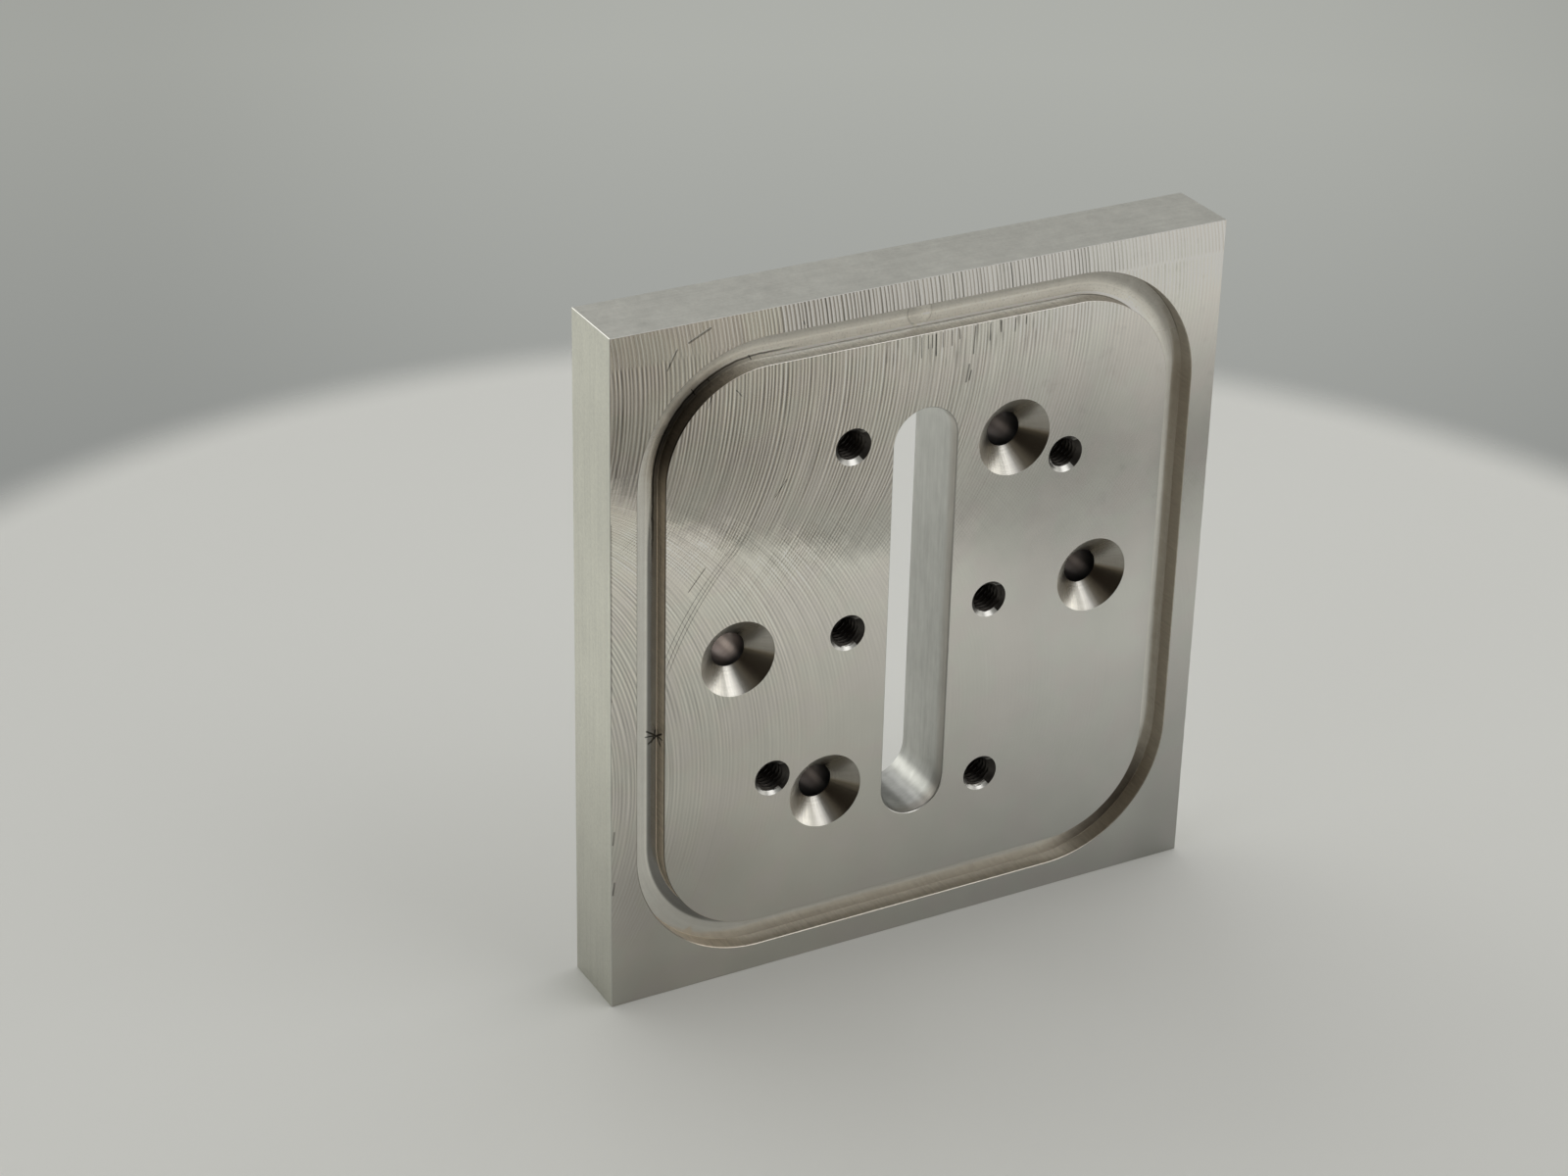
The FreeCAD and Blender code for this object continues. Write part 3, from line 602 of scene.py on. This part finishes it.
def floor_material():
    """The groove's floor: smoother than the face, with a cutter line along it, and swarf stuck in one place."""
    g = Mat("groove_floor")
    n = g.noise(1.1, 3.0, 0.6)
    grit = g.noise(8.0, 3.0, 0.6)
    s = from_island(g)
    lane = g.noise(5.0, 2.0, 0.6, at=g.join(s, g.mul(g.x, 0.02), g.mul(g.z, 0.02)))
    g.bump(g.add(g.mul(n, 0.0015), g.mul(grit, 0.0007), g.mul(lane, 0.004)))
    left = g.step(g.x, -11.5, -18.0)
    right_ = g.step(g.x, 12.5, 18.5)
    up = g.step(g.z, 15.0, 21.0)
    dn = g.step(g.z, -16.0, -21.0)
    tone = g.add(0.95, g.mul(g.sub(n, 0.5), 0.16), g.mul(g.sub(grit, 0.5), 0.16), g.mul(g.sub(lane, 0.5), 0.24))
    # painted shade and reflection: the left run's floor is made darker next to the island's wall
    lim = g.step(g.z, 9.0, 16.0, 0.66, 0.34)
    tone = g.mul(tone, g.add(1.0, g.mul(left, g.step(s, lim, g.add(lim, 0.22), 1.0, 0.0), -0.68)))
    # at the upper left bend: a dark jagged line on the floor, and beside it a bright line that is a painted reflection
    # of the island's edge
    bend = g.mul(g.step(g.x, -9.0, -12.5), g.step(g.z, 7.0, 12.0))
    jag = g.mul(g.sub(g.noise(1.3, 2.0, 0.6), 0.5), 0.16)
    tone = g.mul(tone, g.add(1.0, g.mul(bend, g.step(g.f("ABSOLUTE", g.sub(g.add(s, jag), 0.36)), 0.03, 0.09, 1.0, 0.0), -0.75)))
    tone = g.add(tone, g.mul(bend, g.step(g.f("ABSOLUTE", g.sub(g.add(s, jag), 0.52)), 0.03, 0.08, 1.0, 0.0), 0.22))
    # painted shade: the right run's floor is lighter next to the island and darker towards the outer wall
    tone = g.mul(tone, g.add(1.0, g.mul(right_, g.step(s, 0.2, 1.5, 0.22, -0.14))))
    # painted light and shade: the top run's floor is lighter next to the island and darker towards the outer wall
    tone = g.mul(tone, g.add(1.0, g.mul(up, g.step(s, 0.95, 1.45, 0.20, -0.12))))
    # painted shade: the bottom run's floor is made darker
    tone = g.mul(tone, g.add(1.0, g.mul(dn, -0.14)))
    # painted light and shade on the dwell's shallow dish: lighter on one side, darker on the other, with a dark rim on
    # its left half
    far = g.vec("LENGTH", g.join(g.sub(g.x, DWELL[0]), 0.0, g.sub(g.z, DWELL[1])), out=1)
    tone = g.add(tone, g.mul(g.step(far, 0.75, 0.95, 1.0, 0.0), g.step(g.add(g.x, g.mul(g.sub(g.z, DWELL[1]), 0.7)), -0.8, 0.7, -0.10, 0.16)))
    tone = g.mul(tone, g.add(1.0, g.mul(g.step(g.f("ABSOLUTE", g.sub(far, 1.0)), 0.03, 0.12, 1.0, 0.0), g.step(g.x, 0.5, -0.5), -0.30)))
    # painted highlight: a bright line close to the island's wall in the top groove's left part
    near = g.mul(g.step(g.f("ABSOLUTE", g.sub(s, 0.15)), 0.05, 0.11, 1.0, 0.0), up, g.step(g.x, -14.0, -9.0), 0.42)
    tone = g.add(tone, near)
    dull = g.add(0.17, g.mul(up, 0.17))
    pitted = g.mul(g.step(g.noise(6.0, 2.0, 0.6, at=g.vec("ADD", g.p, (4.0, 8.0, 1.0))), 0.56, 0.66), up)
    tone = g.mul(tone, g.add(1.0, g.mul(pitted, -0.16)))
    # painted highlight: a faint bright line along the floor about 0.9 mm from the island, in the upper left half
    thin = g.mul(g.step(g.f("ABSOLUTE", g.sub(s, 0.90)), 0.04, 0.11, 1.0, 0.0), g.step(g.add(g.x, g.mul(g.z, -1.0)), 4.0, -10.0))
    tone = g.add(tone, g.mul(thin, 0.14))
    # swarf: the chip at the left wall's foot is drawn on the floor too, partly the chip and partly its painted
    # reflection, with three small chips at the upper left bend
    swarf = g.dash(-20.7, -5.55, -21.50, -5.00, 0.10)
    for line in ((-20.7, -5.50, -21.60, -5.45, 0.08), (-20.7, -5.55, -21.35, -6.05, 0.10), (-20.8, -5.0, -21.10, -6.0, 0.07),
                 (-18.1, 21.35, -17.8, 20.85, 0.06), (-13.7, 23.1, -13.5, 22.75, 0.06), (-16.9, 21.9, -16.6, 21.6, 0.05)):
        swarf = g.f("MAXIMUM", swarf, g.dash(*line))
    tone = g.mul(tone, g.add(1.0, g.mul(swarf, -0.80)))
    return g.metal(g.times(g.blend(n, (0.79, 0.765, 0.71), (0.78, 0.775, 0.73)), tone), dull)


DWELL = (0.0, H / 2 - RIM - GROOVE / 2)
M_FACE = face_material("milled_front")
M_BACK = face_material("milled_back", front=False)
M_SIDE = side_material("side_faces", False)
M_TOP = side_material("top_faces", True)
M_EDGE = plain_material("broken_edges", 0.62, 0.50, (3.0, 3.0, 3.0))
# painted highlight: a brighter copy of the edge finish
M_GLINT = plain_material("edge_painted_highlight", 1.15, 0.34, (3.0, 3.0, 3.0))
M_WALL = wall_material()
M_FLOOR = floor_material()
M_SLOT = slot_material()
M_CONE = cone_material()
M_BORE = bore_material()
# painted shade: the thread is made nearly black for the shade inside the tapped holes
M_THREAD = plain_material("thread_turns", 0.075, 0.38, (3.0, 3.0, 3.0), 0.001, 0.3, (0.80, 0.74, 0.68))
M_MOUTH = plain_material("tap_mouths", 0.74, 0.28, (3.0, 3.0, 3.0), 0.001)

# ------------------------------------------------------------------ outline of the plate
N_X, N_Z = 150, 160


def outline():
    """Four rings of the outer faces, front to back, and the material of each strip."""
    c = BREAK
    sides = [
        ((W / 2, -H / 2 + c), (W / 2, H / 2 - c), (-1, 0), N_Z, 0),
        ((W / 2 - c, H / 2), (-W / 2 + c, H / 2), (0, -1), N_X, 1),
        ((-W / 2, H / 2 - c), (-W / 2, -H / 2 + c), (1, 0), N_Z, 0),
        ((-W / 2 + c, -H / 2), (W / 2 - c, -H / 2), (0, 1), N_X, 1),
    ]
    full, front_in, back_in, strip = [], [], [], []
    for k, (a, b, inward, n, mat) in enumerate(sides):
        a, b, inward = np.array(a), np.array(b), np.array(inward)
        t = np.linspace(0, 1, n + 1)[:, None]
        line = a + (b - a) * t
        ends = np.sin(np.pi * t[:, 0]) ** 0.25
        for out, seed in ((front_in, 11 + k), (back_in, 31 + k)):
            c_here = c + wobble(n + 1, seed, 0.015, (5, 60)) * ends
            c_here = np.clip(c_here, 0.02, 0.06)
            c_here[0] = c_here[-1] = c
            out.append(np.concatenate([line + inward * c_here[:, None], c_here[:, None]], 1))
        full.append(line)
        # painted highlight: the edge between the top and the left face takes the brighter edge finish
        strip += [mat] * n + [3 if k == 1 else 2]
    full = np.concatenate(full)
    front_in, back_in = np.concatenate(front_in), np.concatenate(back_in)
    return full, front_in, back_in, strip


FULL, FRONT_IN, BACK_IN, STRIP = outline()

# ------------------------------------------------------------------ loops of the groove, slot and holes
hx_o, hz_o = W / 2 - RIM, H / 2 - RIM
hx_i, hz_i = hx_o - GROOVE, hz_o - GROOVE
LIP, LIP_IN = 0.05, 0.025


def groove_loop(d_out):
    """The groove's outer wall moved in by d_out, or from the inner wall side if negative."""
    return rounded(hx_o - d_out, hz_o - d_out, R_OUT - d_out)


outer_mouth = groove_loop(-LIP)
inner_mouth = groove_loop(GROOVE + LIP_IN)
slot_mouth = long_hole(SLOT_W / 2 + SLOT_BREAK, SLOT_C) + (SHIFT, 0.0)
slot_wall = long_hole(SLOT_W / 2, SLOT_C) + (SHIFT, 0.0)

# ------------------------------------------------------------------ front face: rim and island
b = Build()
b.sheet([FRONT_IN[:, :2], outer_mouth], FRONT, 0)
b.sheet([inner_mouth, slot_mouth] + [circle(x, z, SINK_R) for x, z in SINKS] + [circle(x, z, MOUTH_R, 72) for x, z in TAPS], FRONT, 0)
front = b.make("front_face", [M_FACE])

# ------------------------------------------------------------------ back face
b = Build()
b.sheet([BACK_IN[:, :2], slot_mouth] + [circle(x, z, BORE_R + BACK_BREAK) for x, z in SINKS] + [circle(x, z, MAJOR_R + 0.02, 72) for x, z in TAPS], BACK, 0, away=True)
back = b.make("back_face", [M_BACK])

# ------------------------------------------------------------------ narrow faces and their broken edges
b = Build()
r0 = at_depth(FRONT_IN[:, :2], FRONT)
r1 = at_depth(FULL, FRONT + FRONT_IN[:, 2])
r2 = at_depth(FULL, BACK - BACK_IN[:, 2])
r3 = at_depth(BACK_IN[:, :2], BACK)
b.skin([r0, r1], 2, out=True)
b.skin([r1, r1 * 0.75 + r2 * 0.25, r1 * 0.5 + r2 * 0.5, r1 * 0.25 + r2 * 0.75, r2], STRIP, out=True)
# painted highlight: the back edges of the top and bottom faces take the brighter edge finish
b.skin([r2, r3], [3 if m == 1 else 2 for m in STRIP], out=True)
sides = b.make("narrow_faces", [M_SIDE, M_TOP, M_EDGE, M_GLINT])

# ------------------------------------------------------------------ seal groove
b = Build()
FIL = 0.035
steps = [(FRONT, -LIP), (FRONT + LIP, 0.0), (FLOOR - FIL, 0.0)]
for k in range(1, 5):
    a = math.radians(90 * k / 4)
    steps.append((FLOOR - FIL + FIL * math.sin(a), FIL * (1 - math.cos(a))))
b.skin([at_depth(groove_loop(d), y) for y, d in steps], 0)
b.skin([at_depth(groove_loop(GROOVE - d), y) for y, d in [(FRONT, -LIP_IN), (FRONT + LIP_IN, 0.0)] + steps[2:]], 0, out=True)
dwell_r, dwell_deep = 1.0, 0.025
b.sheet([groove_loop(FIL), groove_loop(GROOVE - FIL), circle(*DWELL, dwell_r, 64)], FLOOR, 1)
b.skin([at_depth(circle(*DWELL, dwell_r, 64), FLOOR), at_depth(circle(*DWELL, dwell_r - dwell_deep, 64), FLOOR + dwell_deep)], 1)
b.sheet([circle(*DWELL, dwell_r - dwell_deep, 64)], FLOOR + dwell_deep, 1)
groove = b.make("seal_groove", [M_WALL, M_FLOOR])

# ------------------------------------------------------------------ slot
b = Build()
# painted highlight: the lower end of the slot's front edge takes the brighter tap mouth finish
mouth_mats = [2 if 80 <= i < 120 else 1 for i in range(len(slot_mouth))]
b.skin([at_depth(slot_mouth, FRONT), at_depth(slot_wall, FRONT + SLOT_BREAK)], mouth_mats)
b.skin([at_depth(slot_wall, y) for y in np.linspace(FRONT + SLOT_BREAK, BACK - SLOT_BREAK, 5)], 0)
b.skin([at_depth(slot_wall, BACK - SLOT_BREAK), at_depth(slot_mouth, BACK)], 1)
slot = b.make("slot_wall", [M_SLOT, M_EDGE, M_MOUTH])

# ------------------------------------------------------------------ countersunk holes
b = Build()
for x, z in SINKS:
    deep = SINK_R - BORE_R
    b.skin([at_depth(circle(x, z, SINK_R - deep * k / 4), FRONT + deep * k / 4) for k in range(5)], 0)
    b.skin([at_depth(circle(x, z, BORE_R), y) for y in np.linspace(FRONT + deep, BACK - BACK_BREAK, 4)], 1)
    b.skin([at_depth(circle(x, z, BORE_R), BACK - BACK_BREAK), at_depth(circle(x, z, BORE_R + BACK_BREAK), BACK)], 1)
sinks = b.make("countersunk_holes", [M_CONE, M_BORE])

# ------------------------------------------------------------------ tapped holes, right-hand M2.5 x 0.45
def thread_radius(phase):
    """Radius of the thread's wall at a place in its turn, 0 to 1."""
    flat, root = 0.25, 0.125
    flank = (1 - flat - root) / 2
    p = np.mod(phase, 1.0)
    up = np.clip((p - flat) / flank, 0, 1)
    down = np.clip((1 - p) / flank, 0, 1)
    return CORE_R + (MAJOR_R - CORE_R) * np.minimum(up, down)


N_TURN, ROWS = 72, 12
for i, (x, z) in enumerate(TAPS):
    b = Build()
    a = np.arange(N_TURN) * 2 * math.pi / N_TURN
    ys = np.concatenate([[FRONT], np.arange(FRONT + 0.03, BACK - 0.01, PITCH / ROWS), [BACK]])
    rng = np.random.default_rng(50 + i)
    start = rng.uniform(0, 1) if i else 0.35
    rings = []
    for y in ys:
        r = thread_radius(y / PITCH + a / (2 * math.pi) + start)
        r = np.maximum(r, MOUTH_R - (y - FRONT))
        r = np.maximum(r, MAJOR_R + 0.02 - (BACK - y))
        if y == FRONT:
            r[:] = MOUTH_R
        if y == BACK:
            r[:] = MAJOR_R + 0.02
        rings.append(np.stack([x + r * np.cos(a), np.full(N_TURN, y), z + r * np.sin(a) + ZC], 1))
    lip = int(np.searchsorted(ys, FRONT + 0.31))
    # the lead-in is bright on one side only, fitted to the main view: painted light and shade, its cause on the real
    # part not known
    b.skin(rings[:lip + 1], [0 if k * 5 < 45 or k * 5 > 302 else 1 for k in range(N_TURN)])
    b.skin(rings[lip:], 0)
    b.make(f"tapped_hole_{i + 1}", [M_THREAD, M_MOUTH], sharp=40.0)

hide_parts("plate")

# ------------------------------------------------------------------ stage: a round pale turntable
TABLE = (2.65, 7.65, 100.7)
g = Mat("pale_turntable")
g.bsdf.inputs["Base Color"].default_value = (0.775, 0.777, 0.752, 1.0)
g.bsdf.inputs["Roughness"].default_value = 0.55
ahead = g.sub(g.y, TABLE[1])
far = g.vec("LENGTH", g.join(g.sub(g.x, TABLE[0]), g.f("MINIMUM", ahead, g.mul(ahead, 1.15)), 0.0), out=1)
clear = g.t.nodes.new("ShaderNodeBsdfTransparent")
soft_edge = g.t.nodes.new("ShaderNodeMixShader")
g.link(g.step(far, TABLE[2] - 6.0, TABLE[2] + 4.0), soft_edge.inputs[0])
g.link(g.bsdf.outputs[0], soft_edge.inputs[1])
g.link(clear.outputs[0], soft_edge.inputs[2])
g.link(soft_edge.outputs[0], [n for n in g.t.nodes if n.type == "OUTPUT_MATERIAL"][0].inputs["Surface"])
n = 256
ang = np.arange(n) * 2 * math.pi / n
rings = [np.stack([TABLE[0] + r * np.cos(ang), TABLE[1] + r * np.sin(ang), np.zeros(n)], 1) * 0.001 for r in (0.01, 50.0, 92.0, TABLE[2] + 6.0)]
faces = [(k * n + i, (k + 1) * n + i, (k + 1) * n + (i + 1) % n, k * n + (i + 1) % n) for k in range(3) for i in range(n)]
me = bpy.data.meshes.new("turntable")
me.from_pydata(np.concatenate(rings).tolist(), [], faces)
me.materials.append(g.m)
table = bpy.data.objects.new("turntable", me)
bpy.context.scene.collection.objects.link(table)

# ------------------------------------------------------------------ light
def area(name, direction, distance, size, power, colour=(1, 1, 1), target=(0, 0, 0.027)):
    light = bpy.data.lights.new(name, "AREA")
    light.shape = "RECTANGLE"
    light.size, light.size_y = size
    light.energy = power
    light.color = colour
    ob = bpy.data.objects.new(name, light)
    d = Vector(direction).normalized()
    ob.location = Vector(target) + d * distance
    ob.rotation_euler = (-d).to_track_quat("-Z", "Y").to_euler()
    bpy.context.scene.collection.objects.link(ob)
    return ob


area("softbox_front", (0.38, -0.45, 0.80), 0.70, (0.40, 0.34), 0.60, target=(0, 0, 0.03))
area("softbox_top", (0.55, 0.22, 0.85), 0.80, (0.55, 0.55), 0.60, target=(0, 0, 0.0))
area("softbox_back", (0.02, 0.66, 0.66), 0.80, (0.50, 0.50), 0.60, target=(0, 0, 0.0))

world = bpy.data.worlds.new("studio")
bpy.context.scene.world = world
world.use_nodes = True
wt = world.node_tree
wt.nodes.clear()


class WorldNodes(Mat):
    def __init__(self, tree):
        self.t = tree


w = WorldNodes(wt)
tc = wt.nodes.new("ShaderNodeTexCoord")
d = tc.outputs["Generated"]
sep = wt.nodes.new("ShaderNodeSeparateXYZ")
w.link(d, sep.inputs[0])
dx, dy, dz = sep.outputs


def dot(vector):
    v = Vector(vector).normalized()
    return w.vec("DOT_PRODUCT", d, tuple(v), out=1)


# walls of the light tent: grey, brighter to the left and right, with a dark open front
wall = w.step(dz, -0.3, 0.9, 0.0, 1.0)
colour = w.blend(wall, (0.36, 0.362, 0.345), (0.40, 0.40, 0.385))
colour = w.blend(w.step(dot((0.93, -0.16, 0.30)), 0.60, 0.97), colour, (0.56, 0.56, 0.54))
colour = w.blend(w.step(dot((-0.95, 0.10, 0.20)), 0.60, 0.97), colour, (0.85, 0.86, 0.82))
colour = w.blend(w.step(dot((0.965, -0.07, 0.20)), 0.84, 0.975), colour, (1.05, 1.04, 1.0))
# the bench in front of the table: in shade next to the table's edge, lighter further off, warm on the left
toward = w.step(w.mul(dy, -1.0), 0.30, 0.62)
lit = w.step(dz, -0.452, -0.388)
left = w.step(dx, 0.36, 0.50)
shade = w.blend(left, (0.200, 0.180, 0.145), (0.330, 0.325, 0.305))
open_ = w.blend(left, (0.330, 0.300, 0.250), (0.580, 0.570, 0.530))
bench = w.blend(lit, shade, open_)
bench = w.blend(w.mul(w.step(dz, -0.30, -0.12), w.step(dx, 0.02, 0.34, 1.0, 0.0)), bench, (0.035, 0.028, 0.022))
low_front = w.mul(toward, w.step(dz, -0.02, 0.02, 1.0, 0.0))
colour = w.blend(low_front, colour, bench)
front = w.mul(w.step(w.mul(dy, -1.0), 0.34, 0.56), w.step(dz, -0.04, 0.03), w.step(dz, 0.60, 0.74, 1.0, 0.0))
dim = w.blend(w.step(dx, 0.02, 0.34), (0.040, 0.031, 0.025), (0.40, 0.38, 0.345))
colour = w.blend(front, colour, dim)
colour = w.blend(w.step(dot((-0.525, 0.776, 0.350)), 0.940, 0.992), colour, (1.8, 1.8, 1.72))
bg = wt.nodes.new("ShaderNodeBackground")
w.link(colour, bg.inputs["Color"])
bg.inputs["Strength"].default_value = 1.0

# what the camera sees behind the table: one plain grey sweep, with a painted glow behind the table
plain = w.blend(w.step(dz, -0.44, -0.33, kind="LINEAR"), (0.268, 0.276, 0.266), (0.362, 0.370, 0.345))
glow = w.step(dot((0.470, 0.790, -0.365)), 0.975, 0.999)
plain = w.times(plain, w.add(1.0, w.mul(glow, 0.16)))
bg2 = wt.nodes.new("ShaderNodeBackground")
w.link(plain, bg2.inputs["Color"])
lp = wt.nodes.new("ShaderNodeLightPath")
mix = wt.nodes.new("ShaderNodeMixShader")
w.link(lp.outputs["Is Camera Ray"], mix.inputs[0])
w.link(bg.outputs[0], mix.inputs[1])
w.link(bg2.outputs[0], mix.inputs[2])
wo = wt.nodes.new("ShaderNodeOutputWorld")
w.link(mix.outputs[0], wo.inputs["Surface"])

# ------------------------------------------------------------------ camera
cam = bpy.data.cameras.new("camera")
cam.sensor_fit = "HORIZONTAL"
cam.sensor_width = 36.0
cam.lens = 81.62
cam.clip_start = 0.01
cam.clip_end = 20.0
cam.dof.use_dof = False
camera = bpy.data.objects.new("camera", cam)
fwd = Vector((0.4259, 0.77574, -0.46566)).normalized()
up = Vector((0.20443, 0.41885, 0.88474))
right = fwd.cross(up).normalized()
up = right.cross(fwd).normalized()
rot = Matrix((right, up, -fwd)).transposed().to_4x4()
camera.matrix_world = Matrix.Translation((-0.11963, -0.20045, 0.15048)) @ rot
bpy.context.scene.collection.objects.link(camera)
bpy.context.scene.camera = camera

bpy.context.scene.view_settings.view_transform = "Standard"
bpy.context.scene.view_settings.look = "None"
bpy.context.scene.view_settings.exposure = 0.0
bpy.context.scene.view_settings.gamma = 1.0

bpy.context.view_layer.update()
